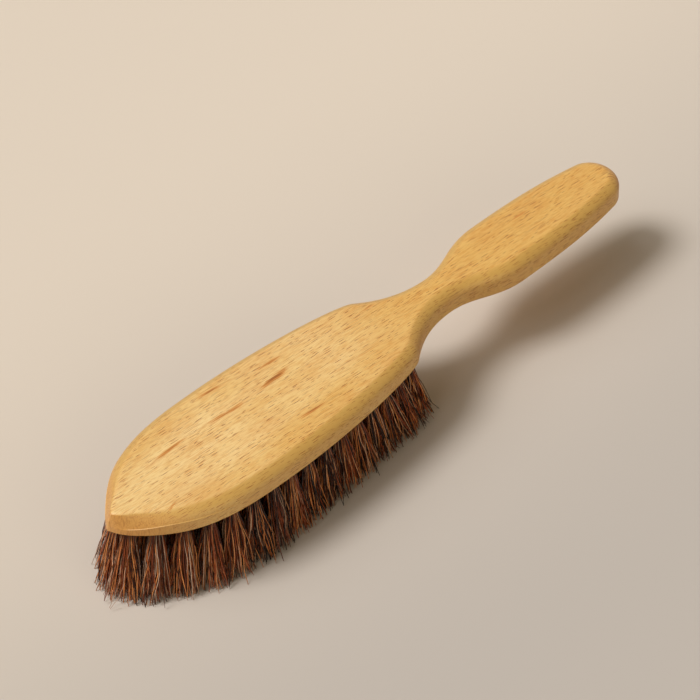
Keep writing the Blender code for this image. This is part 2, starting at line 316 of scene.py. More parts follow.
class BeechSettings(bpy.types.PropertyGroup):
    edge_rounding: length_property("Plateau rounding", "Radius of the edge of the flat top", 0.0045)
    nose_crease: angle_property(
        "Nose crease", "Angle between the rounded rim and the upright side at the nose", 24)
    grain_turn: angle_property("Grain turn", "How far the grain is turned from the brush's length", 3)
    fleck_width: length_property("Fleck width", "Usual width of a dark fleck, across the grain", 0.00035)
    fleck_length: length_property("Fleck length", "Usual length of a dark fleck, along the grain", 0.0048)
    straw: colour_property("Straw", "Palest wood between the growth bands", (249, 218, 154))
    honey: colour_property("Honey", "Warmer wood of the growth bands", (244, 208, 140))
    amber: colour_property(
        "Amber", "Deeper varnish on the handle and in the stock's warm zones", (226, 177, 92))
    fleck: colour_property("Fleck", "Dark flecks in the grain", (146, 70, 14))
    mark: colour_property("Brown mark", "Larger brown marks in the grain", (208, 138, 64))
    mark_heart: colour_property("Heart of a mark", "Middle of the larger brown marks", (156, 92, 34))
    # Painted shade: a darker, warmer colour laid on the rounded rim and the sides by the way they face
    side: colour_property("Side wood", "Wood of the rounded rim and the sides", (204, 159, 79))
    end_grain: colour_property(
        "End grain", "Wood cut across the grain, at nose, shoulder and neck", (214, 144, 66))
    roughness: share_property("Varnish roughness", "How dull the varnish is", 0.40, max=1)


class FibreSettings(bpy.types.PropertyGroup):
    outer_count: count_property("Outer fibres", "Fibres in each tuft of the outer row", 108)
    inner_count: count_property("Inner fibres", "Fibres in each tuft of the inner rows", 72)
    thickness: length_property("Thickness", "Thickness of a fibre where it leaves the wood", 0.00058)
    packed_radius: length_property("Packed radius", "Radius of a tuft at the wood", 0.00240)
    spread_along: length_property(
        "Spread along the rim", "Half width of a tuft's trimmed end, along the rim", 0.0086)
    spread_out: length_property(
        "Spread outwards", "Half width of a tuft's trimmed end, square to the rim", 0.0052)
    bend: length_property("Bend", "How far a fibre curves away towards its end", 0.0034)
    wave: length_property("Wave", "How far a fibre wanders from its line", 0.0009)
    raggedness: length_property("Raggedness", "How unevenly the ends are trimmed", 0.0052)
    dark: colour_property("Dark fibres", "Darkest fibres", (30, 8, 2))
    red: colour_property("Red-brown fibres", "Fibres of the middle tone", (172, 82, 37))
    orange: colour_property("Orange-brown fibres", "Brighter fibres", (244, 160, 90))
    # Palest fibres: a real pale tone, greyed partly as a painted glint
    tan: colour_property("Tan fibres", "Palest fibres", (222, 186, 158))


class StageSettings(bpy.types.PropertyGroup):
    floor: colour_property("Floor", "Pale floor beyond the brush", (226, 211, 191))
    # Painted shade: the floor before the brush is darker, standing for light falling off
    near_floor_painted_shade: colour_property("Near floor", "Pale floor before the brush", (193, 183, 171))
    size: length_property("Floor size", "Side of the floor", 24.0)
    lamp: share_property("Lamp", "Share of the light that comes from the lamp", 0.51)
    lamp_angle: angle_property("Lamp width", "How wide the lamp looks from the brush", 20)
    screen: share_property("Screen", "Share of the light that comes from the screen round the lamp", 0.28)
    screen_angle: angle_property("Screen width", "How wide the screen looks from the brush", 52)
    fill: share_property("Fill", "Share of the light that comes from low before the brush", 0.21)
    fill_angle: angle_property("Fill width", "How wide the low light looks from the brush", 60)
    surroundings: share_property("Surroundings", "Share of the light from all round", 0.15)


class Shading:
    """Adds nodes to a tree and joins them."""

    def __init__(self, tree):
        self.tree = tree

    def add(self, kind, inputs=None, **settings):
        """A node with its settings, and with values or other nodes' outputs for its inputs."""
        made = self.tree.nodes.new(kind)
        for name, value in settings.items():
            setattr(made, name, value)
        for key, value in (inputs or {}).items():
            self.feed(made.inputs[key], value)
        return made

    def feed(self, socket, value):
        """Sets a socket to a value, or joins it to an output."""
        if isinstance(value, bpy.types.NodeSocket):
            self.tree.links.new(value, socket)
        else:
            socket.default_value = value

    def maths(self, operation, *values):
        """The result of a sum."""
        return self.add("ShaderNodeMath", dict(enumerate(values)), operation=operation).outputs[0]

    def vector_maths(self, operation, *values):
        """The result of a sum with vectors: a number for a length or a dot product."""
        made = self.add("ShaderNodeVectorMath", dict(enumerate(values)), operation=operation)
        return made.outputs["Value" if operation in ("LENGTH", "DOT_PRODUCT") else "Vector"]

    def times(self, first, *others):
        """The product of two or more values."""
        for other in others:
            first = self.maths("MULTIPLY", first, other)
        return first

    def step(self, value, low, high, start=0.0, end=1.0):
        """Rises from start to end while value goes from low to high."""
        made = self.add("ShaderNodeMapRange", {
            "Value": value, "From Min": low, "From Max": high, "To Min": start, "To Max": end},
            interpolation_type="SMOOTHSTEP")
        return made.outputs["Result"]

    def zone(self, values, ramps):
        """How far all of the values lie within their ramps."""
        return self.times(*(self.step(value, *ramp) for value, ramp in zip(values, ramps)))

    def mix(self, share, first, second, blend="MIX"):
        """The second colour laid over the first by a share: 6, 7 and 2 are the node's colour sockets."""
        made = self.add("ShaderNodeMix", {0: share, 6: opaque(first), 7: opaque(second)},
                        data_type="RGBA", blend_type=blend)
        return made.outputs[2]

    def stretch(self, vector, scale, turn=0.0):
        """Coordinates turned about the vertical and stretched."""
        made = self.add("ShaderNodeMapping", {
            "Vector": vector, "Rotation": (0, 0, turn), "Scale": scale}, vector_type="POINT")
        return made.outputs["Vector"]

    def noise(self, vector, cells, detail, roughness):
        """Noise with so many cells a metre in each direction."""
        made = self.add("ShaderNodeTexNoise", {
            "Vector": self.stretch(vector, cells), "Scale": 1.0, "Detail": detail, "Roughness": roughness})
        return made.outputs["Fac"]

    def bump(self, shader, height, strength, distance):
        """Bumps on the shader's surface."""
        made = self.add("ShaderNodeBump", {"Strength": strength, "Distance": distance, "Height": height})
        self.feed(shader.inputs["Normal"], made.outputs["Normal"])


def opaque(colour):
    """A colour with its fourth value, or a socket as it is."""
    return colour if isinstance(colour, bpy.types.NodeSocket) else (*colour, 1.0)


def new_material(name):
    """A material, its node helper and its shader."""
    made = bpy.data.materials.new(name)
    made.use_nodes = True
    return made, Shading(made.node_tree), made.node_tree.nodes["Principled BSDF"]


def surface_grain(shading, grain):
    """Distances along the grain and across it, over the top and down the sides."""
    part = shading.add("ShaderNodeSeparateXYZ", {0: grain}).outputs
    across = shading.maths("SUBTRACT", shading.maths("ABSOLUTE", part["Y"]), part["Z"])
    along = shading.maths("MULTIPLY_ADD", shading.maths("SIGN", part["Y"]), SIDE_SHIFT, part["X"])
    return shading.add("ShaderNodeCombineXYZ", {0: along, 1: across, 2: 0.0}).outputs[0]


def flecks(shading, look, surface, kind):
    """Thin dark dashes along the grain, one in some of the cells: up to 1 on a dash and 0 beside it."""
    width_share, length_share, kept, shift = kind
    width, length = look.fleck_width * width_share, look.fleck_length * length_share
    cell = Vector((length / FLECK_CELL_SHARE, width * FLECK_CELL_WIDTHS, 1))
    moved = shading.vector_maths("ADD", surface, shift)
    spread = shading.stretch(moved, (1 / cell.x, 1 / cell.y, 1))
    cells = shading.add("ShaderNodeTexVoronoi", {
        "Vector": spread, "Scale": 1.0, "Randomness": 1.0}, voronoi_dimensions="2D").outputs
    chance = shading.add("ShaderNodeSeparateColor", {0: cells["Color"]}).outputs
    apart = shading.vector_maths("SUBTRACT", spread, cells["Position"])
    shaped = shading.stretch(apart, (2 * cell.x / length, 2 * cell.y / width, 0))
    reach = shading.vector_maths("LENGTH", shaped)
    return shading.times(
        shading.step(reach, *FLECK_EDGE),
        shading.step(chance[0], kept, kept - FLECK_CHANCE_EDGE),
        shading.step(chance[1], *FLECK_DEPTHS))


def brown_mark(shading, coordinates, fray, mark):
    """One long brown mark, frayed along the grain: its strength at its middle, and 0 outside."""
    x, y, length, width, turn, strength = mark
    moved = shading.add("ShaderNodeMapping", {
        "Vector": coordinates, "Location": (x, y, WOOD_HIGH.z), "Rotation": (0, 0, math.radians(turn)),
        "Scale": (length / 2, width / 2, MARK_DEPTH)}, vector_type="TEXTURE").outputs[0]
    reach = shading.vector_maths("LENGTH", moved)
    return shading.step(shading.maths("ADD", reach, fray), *MARK_EDGE, 0.0, strength)


def warm_zones(shading, lengthwise, across):
    """How much deeper the stock's wood is round its marks, along both edges and at the nose."""
    from_widest = shading.maths("ADD", lengthwise, WIDEST_BEFORE_MIDDLE)
    bow = shading.times(from_widest, from_widest, BOW)
    middle = shading.zone((lengthwise, lengthwise), MIDDLE_ZONE)
    near = shading.zone((shading.maths("SUBTRACT", bow, across), lengthwise, lengthwise), NEAR_ZONE)
    far = shading.zone((shading.maths("ADD", bow, across), lengthwise), FAR_ZONE)
    zones = shading.maths("ADD", shading.maths("ADD", middle, near), far)
    return shading.maths("MINIMUM", zones, WARMEST)


def ground_colour(shading, look, coordinates, grain, fine):
    """The wood's colour under its flecks: growth bands, deeper zones, clouds and fine grain."""
    parts = shading.add("ShaderNodeSeparateXYZ", {0: coordinates}).outputs
    lengthwise, across = parts["X"], parts["Y"]
    bands, clouds = shading.noise(grain, *BAND_NOISE), shading.noise(grain, *CLOUD_NOISE)
    colour = shading.mix(shading.step(bands, *BANDS), look.straw, look.honey)
    colour = shading.mix(shading.step(lengthwise, *HANDLE_AMBER), colour, look.amber)
    colour = shading.mix(warm_zones(shading, lengthwise, across), colour, look.amber)
    colour = shading.mix(shading.step(clouds, *CLOUDS), colour, look.end_grain, "MULTIPLY")
    return shading.mix(shading.step(fine, *FINE_GRAIN), colour, look.amber, "MULTIPLY")


def edged_colour(shading, look, coordinates, sideways, endways, colour):
    """The colour, with painted shade on the rim and sides, and the colour of wood cut across the grain."""
    # Painted shade on the rim and sides, by how far they face sideways
    sides = shading.times(shading.step(sideways, *RIM_PAINTED_SHADE), shading.step(sideways, *UPRIGHT_PAINTED_SHADE))
    colour = shading.mix(sides, colour, look.side)
    ends = shading.step(endways, *ENDS)
    colour = shading.mix(ends, colour, look.end_grain)
    streaks = shading.step(shading.noise(coordinates, *END_NOISE), *END_STREAKS)
    return shading.mix(shading.times(streaks, ends), colour, look.fleck)


def wood_pores(shading, look, grain, endways):
    """Flecks and hairlines, fainter where the wood is cut across the grain."""
    surface = surface_grain(shading, grain)
    pores = shading.step(shading.noise(grain, *HAIR_NOISE), *HAIRLINES)
    for kind in (LONG_FLECKS, SHORT_FLECKS):
        pores = shading.maths("MAXIMUM", flecks(shading, look, surface, kind), pores)
    return shading.times(pores, shading.step(endways, *END_PORES))


def marked_colour(shading, look, coordinates, grain, colour):
    """The colour, with that of the larger brown marks and their hearts."""
    fray = shading.step(shading.noise(grain, *FRAY_NOISE), *FRAY)
    marks = 0.0
    for mark in BROWN_MARKS:
        marks = shading.maths("MAXIMUM", marks, brown_mark(shading, coordinates, fray, mark))
    colour = shading.mix(shading.step(marks, *MARK_BODY), colour, look.mark)
    return shading.mix(shading.step(marks, *MARK_HEART), colour, look.mark_heart)


def beech_material(look):
    """Straight-grained beech under satin varnish."""
    made, shading, shader = new_material("varnished_beech")
    outputs = shading.add("ShaderNodeTexCoord").outputs
    coordinates = outputs["Object"]
    grain = shading.stretch(coordinates, (1, 1, 1), look.grain_turn)
    facing = shading.add("ShaderNodeSeparateXYZ", {0: outputs["Normal"]}).outputs
    sideways, endways = shading.maths("ABSOLUTE", facing["Y"]), shading.maths("ABSOLUTE", facing["X"])
    fine = shading.noise(grain, *FINE_NOISE)
    pores = wood_pores(shading, look, grain, endways)
    colour = ground_colour(shading, look, coordinates, grain, fine)
    colour = edged_colour(shading, look, coordinates, sideways, endways, colour)
    colour = shading.mix(pores, colour, look.fleck)
    colour = marked_colour(shading, look, coordinates, grain, colour)
    shading.feed(shader.inputs["Base Color"], colour)
    dullness = (look.roughness + shift for shift in DULL_SHIFTS)
    dull = shading.step(shading.maths("ADD", fine, pores), *DULL, *dullness)
    shading.feed(shader.inputs["Roughness"], dull)
    height = shading.maths("SUBTRACT", shading.times(fine, FINE_HEIGHT), pores)
    shading.bump(shader, height, *WOOD_BUMP)
    return made


def fibre_material(look):
    """Fibres in tones from dark to pale, mottled, and darker at their roots as painted shade."""
    made, shading, shader = new_material("stiff_plant_fibre")
    tone = shading.add("ShaderNodeAttribute", attribute_name="tone").outputs["Fac"]
    along = shading.add("ShaderNodeAttribute", attribute_name="along").outputs["Fac"]
    shades = shading.add("ShaderNodeValToRGB", {"Fac": tone})
    # The palest stop is a pale fibre tone and partly a painted glint
    stops = list(zip(TONE_STOPS, (look.dark, look.red, look.red, look.orange, look.tan)))
    elements = shades.color_ramp.elements
    for place, _ in stops[len(elements):]:
        elements.new(place)
    for element, (place, shade) in zip(elements, stops):
        element.position = place
        element.color = opaque(shade)
    mottle = shading.noise(shading.add("ShaderNodeTexCoord").outputs["Object"], *MOTTLE_NOISE)
    colour = shading.mix(shading.step(mottle, *MOTTLE), shades.outputs["Color"], look.dark, "MULTIPLY")
    # Painted shade: the dark fibre colour laid over the fibres near their roots
    colour = shading.mix(shading.step(along, *ROOT_SHADE), colour, look.dark)
    shading.feed(shader.inputs["Base Color"], colour)
    shading.feed(shader.inputs["Roughness"], shading.step(mottle, *MOTTLE_DULL))
    shader.inputs["Specular IOR Level"].default_value = FIBRE_GLOSS
    shading.bump(shader, mottle, *FIBRE_BUMP)
    return made


def floor_material(look):
    """The pale floor, darker before the brush as a painted falloff of light, which the camera doesn't see
    from below.
    """
    made, shading, shader = new_material("pale_floor")
    coordinates = shading.add("ShaderNodeTexCoord").outputs["Object"]
    beyond = shading.vector_maths("DOT_PRODUCT", coordinates, (0.0, 1.0, 0.0))
    # Painted falloff of light: darker before the brush, paler beyond it
    colour = shading.mix(shading.step(beyond, *FLOOR_PAINTED_FALLOFF), look.near_floor_painted_shade, look.floor)
    shading.feed(shader.inputs["Base Color"], colour)
    shader.inputs["Roughness"].default_value = FLOOR_DULLNESS
    shader.inputs["Specular IOR Level"].default_value = FLOOR_GLOSS
    below = shading.add("ShaderNodeNewGeometry").outputs["Backfacing"]
    seen = shading.add("ShaderNodeLightPath").outputs["Is Camera Ray"]
    clear = shading.add("ShaderNodeBsdfTransparent")
    blend = shading.add("ShaderNodeMixShader", {
        0: shading.times(below, seen), 1: shader.outputs[0], 2: clear.outputs[0]})
    shading.feed(made.node_tree.nodes["Material Output"].inputs["Surface"], blend.outputs[0])
    return made


def heading(angle):
    """The level unit vector at an angle from +X."""
    return Vector((math.cos(angle), math.sin(angle), 0))


def eased(start, end, place):
    """Rises smoothly from 0 to 1 between two values."""
    share = min(max((place - start) / (end - start), 0), 1)
    return share * share * (3 - 2 * share)


class Outline:
    """The wood's edge from nose to handle end on the +Y side, as a chain of smooth curves."""

    def __init__(self):
        knots = [(Vector((x, y, 0)), heading(math.radians(turn))) for x, y, turn in OUTLINE]
        self.points = [knots[0][0]]
        for start, end, shares, steps in zip(knots, knots[1:], OUTLINE_REACH_SHARES, OUTLINE_STEPS):
            distance = (end[0] - start[0]).length
            out_of_start = start[0] + start[1] * distance * shares[0]
            into_end = end[0] - end[1] * distance * shares[1]
            self.points += interpolate_bezier(start[0], out_of_start, into_end, end[0], steps + 1)[1:]
        self.inward = [self.inward_at(i) for i in range(len(self.points))]

    def inward_at(self, index):
        """The unit vector into the wood, square to the edge."""
        if index in (0, len(self.points) - 1):
            return heading(0 if index == 0 else math.pi)
        along = self.points[index + 1] - self.points[index - 1]
        return Vector((along.y, -along.x, 0)).normalized()

    def tip(self, depth):
        """The blunt nose tip of an edge moved into the wood, narrowed to a ridge where the two sides meet."""
        corner, side = self.points[TIP_STEPS], heading(math.radians(OUTLINE[1][2]))
        moved = corner + self.inward[TIP_STEPS] * depth
        lean = side.x / side.y
        meeting = moved.x - moved.y * lean
        half = max((TIP_DEPTH_SHARE * depth - meeting) / (lean - corner.x / corner.y), RIDGE_HALF_WIDTH)
        scale = half / corner.y
        start = Vector((meeting + half * lean - corner.x * scale, 0, 0))
        return [start + point * scale for point in self.points[:TIP_STEPS + 1]]

    def inset(self, depth_at, height_at):
        """The edge moved into the wood, at its height."""
        row = self.tip(depth_at(self.points[TIP_STEPS].x))
        for edge, inward in zip(self.points[TIP_STEPS + 1:], self.inward[TIP_STEPS + 1:]):
            row.append(edge + inward * depth_at(edge.x))
        for point, edge in zip(row, self.points):
            point.z = height_at(edge.x)
        row[0].y = 0
        row[-1].y = 0
        return row


def along_wood(values):
    """A size of the wood that changes from the stock's to the neck's, and on to the grip's."""
    stock, neck, grip = values

    def size(place):
        to_neck = (neck - stock) * eased(SHOULDER_PLACE, NECK_PLACE, place)
        return stock + to_neck + (grip - neck) * eased(NECK_PLACE, GRIP_PLACE, place)
    return size


thickness_at = along_wood(THICKNESS)
rim_start_at = along_wood(RIM_START)
bottom_rounding_at = along_wood(BOTTOM_ROUNDING)


def top_at(place):
    """Height of the wood's flat top."""
    return WOOD_HIGH.z - END_DROP * eased(GRIP_PLACE, LENGTH, place)


def bottom_at(place):
    """Height of the wood's underside."""
    return WOOD_HIGH.z - thickness_at(place)


def rim_reach_at(place):
    """How far into the wood the rim reaches: least at the nose."""
    return along_wood(RIM_REACH)(place) - (RIM_REACH[0] - NOSE_REACH) * math.exp(-place / NOSE_REACH_FADE)


def rim_drop_at(place):
    """How far down the rim reaches: far at the nose, least just behind it."""
    at_bow = (RIM_DROP[0] - BOW_DROP) * (1 - eased(NOSE_DROP_END_PLACE, BOW_DROP_END_PLACE, place))
    at_nose = (NOSE_DROP - BOW_DROP) * (1 - eased(0, NOSE_DROP_END_PLACE, place))
    return along_wood(RIM_DROP)(place) - at_bow + at_nose


def ledge_at(place):
    """How far the upright side stands out below the rim behind the nose, where a fine line shows."""
    fading = 1 - eased(CREASE_END_PLACE / 2, CREASE_END_PLACE, place)
    return LEDGE * eased(0, CREASE_START_PLACE, place) * fading


def rim_end_at(place, look):
    """The slope at which the rounded rim meets the upright side, less than upright at the nose."""
    straight = math.atan2(rim_drop_at(place), rim_reach_at(place))
    creased = math.pi / 2 - look.nose_crease * (1 - eased(0, CREASE_END_PLACE, place))
    return max(creased, straight + (math.pi / 2 - straight) * CREASE_SHARE)


def rim_point(place, step, look):
    """How far into the wood and how far down a step of the rim lies: first the edge of the flat top."""
    start, end = rim_start_at(place), rim_end_at(place, look)
    radius, reach, ledge = look.edge_rounding, rim_reach_at(place), ledge_at(place)
    if step < EDGE_STEPS:
        turn = start * step / EDGE_STEPS
        return ledge + reach + radius * (math.sin(start) - math.sin(turn)), radius * (1 - math.cos(turn))
    edge_drop = radius * (1 - math.cos(start))
    upper, lower = Vector((ledge + reach, edge_drop)), Vector((ledge, rim_drop_at(place)))
    across, down = upper - lower
    handle, crossing = math.hypot(across, down) * RIM_HANDLE_SHARE, math.sin(end - start)
    upper_most = UPPER_HANDLE_CAP * (across * math.sin(end) + down * math.cos(end)) / crossing
    lower_most = LOWER_HANDLE_CAP * (-down * math.cos(start) - across * math.sin(start)) / crossing
    out_of_upper = upper + Vector((-math.cos(start), math.sin(start))) * min(handle, upper_most)
    into_lower = lower - Vector((-math.cos(end), math.sin(end))) * min(handle, lower_most)
    point = interpolate_bezier(upper, out_of_upper, into_lower, lower, TOP_STEPS + 1)[step - EDGE_STEPS]
    return point.x, point.y


def rounded_rim(outline, look):
    """Rows over the rim, from the flat top to the upright side."""
    rows = []
    for step in range(EDGE_STEPS + TOP_STEPS + 1):
        rows.append(outline.inset(
            lambda place: rim_point(place, step, look)[0],
            lambda place: top_at(place) - rim_point(place, step, look)[1]))
    return rows


def rounded_arris(outline):
    """Rows round the lower edge."""
    rows = []
    for step in range(BOTTOM_STEPS + 1):
        turn = step / BOTTOM_STEPS * math.pi / 2
        rows.append(outline.inset(
            lambda place: bottom_rounding_at(place) * (1 - math.cos(turn)),
            lambda place: bottom_at(place) + bottom_rounding_at(place) * (1 - math.sin(turn))))
    return rows


def wood_rows(outline, look):
    """Rows of points round the wood, from its flat top down to its flat underside."""
    top = outline.inset(lambda place: rim_point(place, 0, look)[0] + SUPPORT, top_at)
    below_rim = outline.inset(
        lambda place: 0, lambda place: top_at(place) - rim_drop_at(place) - LEDGE_DROP)
    side_start = outline.inset(
        lambda place: 0, lambda place: top_at(place) - rim_drop_at(place) - LEDGE_DROP - CREASE_SUPPORT)
    underside = outline.inset(lambda place: bottom_rounding_at(place) + SUPPORT, bottom_at)
    return [top] + rounded_rim(outline, look) + [below_rim, side_start] + rounded_arris(outline) + [underside]


def closed_ring(shape, row):
    """Vertices for a row of the +Y side, and for its mirror image back to the nose, which leans to +Y."""
    mirrored = [Vector((point.x, -point.y, point.z)) for point in row[-2:0:-1]]
    ring = []
    for point in row + mirrored:
        rise = (point.z - bottom_at(0)) / thickness_at(0)
        shift = NOSE_SHIFT * math.exp(-point.x / NOSE_SHIFT_FADE) * (1 - (1 - TOP_SHIFT_SHARE) * rise)
        ring.append(shape.verts.new(point + Vector((0, shift, 0))))
    return ring


def cap_ring(shape, ring):
    """Closes a ring with a ladder of faces from one side to the other."""
    for i in range(len(ring) // 2):
        corners = [ring[i], ring[i + 1], ring[-i - 1], ring[-i]]
        shape.faces.new(list(dict.fromkeys(corners)))


def join_rings(shape, upper, lower):
    """Closes the gap between two rings with a band of faces."""
    for i in range(len(upper)):
        after = (i + 1) % len(upper)
        shape.faces.new((upper[i], upper[after], lower[after], lower[i]))


def finished_mesh(shape, name):
    """The shape as a mesh, once it needs no more work."""
    mesh = bpy.data.meshes.new(name)
    shape.to_mesh(mesh)
    shape.free()
    return mesh


def wood_mesh(look):
    """The undrilled wood: its rings from top to bottom, joined and capped."""
    shape = bmesh.new()
    rings = [closed_ring(shape, row) for row in wood_rows(Outline(), look)]
    for upper, lower in zip(rings, rings[1:]):
        join_rings(shape, upper, lower)
    cap_ring(shape, rings[0])
    cap_ring(shape, rings[-1])
    bmesh.ops.recalc_face_normals(shape, faces=shape.faces)
    bmesh.ops.translate(shape, verts=shape.verts, vec=(WOOD_LOW.x, 0, 0))
    return finished_mesh(shape, "beech_stock_and_handle")


class Tuft:
    """Where a CAD tuft sits: its packed root, the place where it leaves the wood, and its trimmed end."""

    def __init__(self, node):
        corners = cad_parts[node].data.vertices
        points = {tuple(round(value, PLACE_DECIMALS) for value in corner.co) for corner in corners}
        self.node = node
        self.outer = "outer" in node
        self.top = self.middle(points, max(point[2] for point in points))
        self.exit = self.middle(points, bottom_at(0))
        self.end = self.middle(points, min(point[2] for point in points))
        self.lean = (self.exit - self.top) / (self.top.z - self.exit.z)
        self.from_nose = self.exit.x - WOOD_LOW.x
        rim = [point for point in points if abs(point[2] - self.top.z) < LEVEL_MARGIN]
        self.radius = max((Vector(point) - self.top).length for point in rim)

    @staticmethod
    def middle(points, height):
        """The mean of the points at a height."""
        near = [Vector(point) for point in points if abs(point[2] - height) < LEVEL_MARGIN]
        return sum(near, Vector()) / len(near)


def frame_tufts():
    """Every tuft of the CAD frame."""
    return [Tuft(node) for node in TUFT_NODES]


def drill_holes(wood, tufts):
    """Cuts one leaning blind hole for each tuft."""
    shape = bmesh.new()
    for tuft in tufts:
        radius = tuft.radius + HOLE_CLEARANCE
        levels = []
        for centre in (tuft.top - tuft.lean * HOLE_CLEARANCE, tuft.exit + tuft.lean * HOLE_OVERRUN):
            ring = [heading(2 * math.pi * k / HOLE_SIDES) * radius for k in range(HOLE_SIDES)]
            levels.append([shape.verts.new(centre + point) for point in ring])
        join_rings(shape, *levels)
        for ring in levels:
            shape.faces.new(ring)
    bmesh.ops.recalc_face_normals(shape, faces=shape.faces)
    cutter = add_object("tuft_holes", finished_mesh(shape, "tuft_holes"))
    cut = wood.modifiers.new("tuft holes", "BOOLEAN")
    cut.operation = "DIFFERENCE"
    cut.solver = "EXACT"
    cut.object = cutter
    apply_modifiers(wood)
    bpy.data.objects.remove(cutter, do_unlink=True)


def apply_modifiers(thing):
    """Leaves the mesh as its modifiers make it."""
    graph = bpy.context.evaluated_depsgraph_get()
    made = bpy.data.meshes.new_from_object(thing.evaluated_get(graph), depsgraph=graph)
    thing.modifiers.clear()
    thing.data = made


def add_object(name, data):
    """An object in the scene."""
    made = bpy.data.objects.new(name, data)
    bpy.context.scene.collection.objects.link(made)
    return made


def turn_object(thing, rotation):
    """Turns an object by a quaternion."""
    thing.rotation_mode = "QUATERNION"
    thing.rotation_quaternion = rotation


def add_piece(name, mesh, finish, slot, *nodes):
    """A shown piece that stands for CAD nodes and moves with the brush."""
    made = add_object(name, mesh)
    mesh.materials.append(finish)
    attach(made, BODY)
    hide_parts(*nodes)
    return made


def in_disc(chance, radius):
    """A random place in a disc, any part of it as likely as another."""
    return heading(chance.uniform(0, 2 * math.pi)) * radius * math.sqrt(chance.random())


def spread_frame(tuft, outline):
    """Directions along the rim and out of it at a tuft."""
    middle = Vector((tuft.from_nose, abs(tuft.exit.y), 0))
    nearest = min(range(len(outline.points)), key=lambda i: (outline.points[i] - middle).length)
    outward = -outline.inward[nearest]
    if tuft.exit.y < 0:
        outward = Vector((outward.x, -outward.y, 0))
    return Vector((-outward.y, outward.x, 0)), outward


def fibre_path(tuft, look, chance, clumps, along, outward):
    """Centre points of one fibre, from inside its hole down to its trimmed end."""
    place = in_disc(chance, 1)
    start = place * look.packed_radius
    end = along * place.dot(along) * look.spread_along + outward * place.dot(outward) * look.spread_out
    clump = min(clumps, key=lambda middle: (middle - end).length)
    end = end.lerp(clump, chance.uniform(0.0, CLUMP_PULL))
    gathered = 1 - GATHER_SHARE * eased(*GATHER_PLACES, tuft.from_nose)
    leaning = 1 - UPRIGHT_SHARE * eased(*UPRIGHT_PLACES, tuft.from_nose)
    end = end * gathered
    shift = Vector((tuft.end.x - tuft.exit.x, (tuft.end.y - tuft.exit.y) * leaning, 0)) * gathered
    reach = tuft.exit.z - look.raggedness * chance.random() ** TRIM_POWER - FLOOR_GAP
    bend, stray = in_disc(chance, look.bend), chance.random()
    bend *= next(times for share, times in BENDS if stray < share)
    wave = look.wave * chance.uniform(*WAVE_RANGE)
    turn, phase = chance.uniform(0, 2 * math.pi), chance.uniform(0, 2 * math.pi)
    waves = chance.uniform(*WAVE_COUNT_RANGE)
    points = [tuft.exit + start - tuft.lean * ROOT_DEPTH]
    for k in range(FIBRE_STEPS):
        share = k / (FIBRE_STEPS - 1)
        opened = start.lerp(end, share ** OPENING_POWER)
        swing = math.sin(phase + 2 * math.pi * waves * share) - math.sin(phase)
        bow = heading(turn) * wave * swing * min(1, share * 2)
        curve = bend * (share ** 2 - CURVE_BACK * share)
        centre = tuft.exit + opened + shift * share * reach / tuft.exit.z + bow + curve
        centre.z = tuft.exit.z - reach * share
        points.append(centre)
    return points


def fibre_ring(centre, size, flatness, turn):
    """Corners of a fibre's cross-section."""
    turned = Matrix.Rotation(turn, 3, "Z")
    angles = [2 * math.pi * k / FIBRE_SIDES for k in range(FIBRE_SIDES)]
    offsets = [Vector((math.cos(a) * size, math.sin(a) * size * flatness, 0)) for a in angles]
    return [centre + turned @ offset for offset in offsets]


def bristle_mesh(tuft, look, chance, outline):
    """All fibres of one tuft, each a closed tapering strip, with their tone and place along."""
    clumps = [in_disc(chance, look.spread_along) for _ in range(CLUMPS)]
    along, outward = spread_frame(tuft, outline)
    verts, faces, tones, alongs, places = [], [], [], [], []
    count = look.outer_count if tuft.outer else look.inner_count
    # The inner rows' lower tone is painted shade
    lift = (0 if tuft.outer else INNER_PAINTED_SHADE) + NOSE_LIFT * (1 - eased(*NOSE_LIFT_PLACES, tuft.from_nose))
    across = math.ceil(math.sqrt(count))
    for number in range(count):
        path = fibre_path(tuft, look, chance, clumps, along, outward)
        tone = min(max(chance.betavariate(*TONE_SPREAD) * TONE_SPAN + lift, 0), 1)
        thinned = 1 - PALE_THINNING * eased(PALE_START, 1, tone)
        width = look.thickness / 2 * chance.uniform(*WIDTH_RANGE) * thinned
        flatness, turn = chance.uniform(*FLATNESS_RANGE), chance.uniform(0, math.pi)
        first = len(verts)
        for level, centre in enumerate(path):
            share = max(level - 1, 0) / (FIBRE_STEPS - 1)
            verts += fibre_ring(centre, width * (1 - TAPER * share ** 2), flatness, turn + share)
            tones += [tone] * FIBRE_SIDES
            alongs += [share] * FIBRE_SIDES
        cell = Vector((number % across, number // across)) / across
        add_strip(faces, places, first, len(path), cell, 1 / across)
    mesh = bpy.data.meshes.new("bristles")
    mesh.from_pydata(verts, [], faces)
    add_values(mesh, "tone", tones)
    add_values(mesh, "along", alongs)
    layer = mesh.uv_layers.new(name="OFBake")
    layer.data.foreach_set("uv", [value for place in places for value in place])
    mesh.shade_smooth()
    return mesh


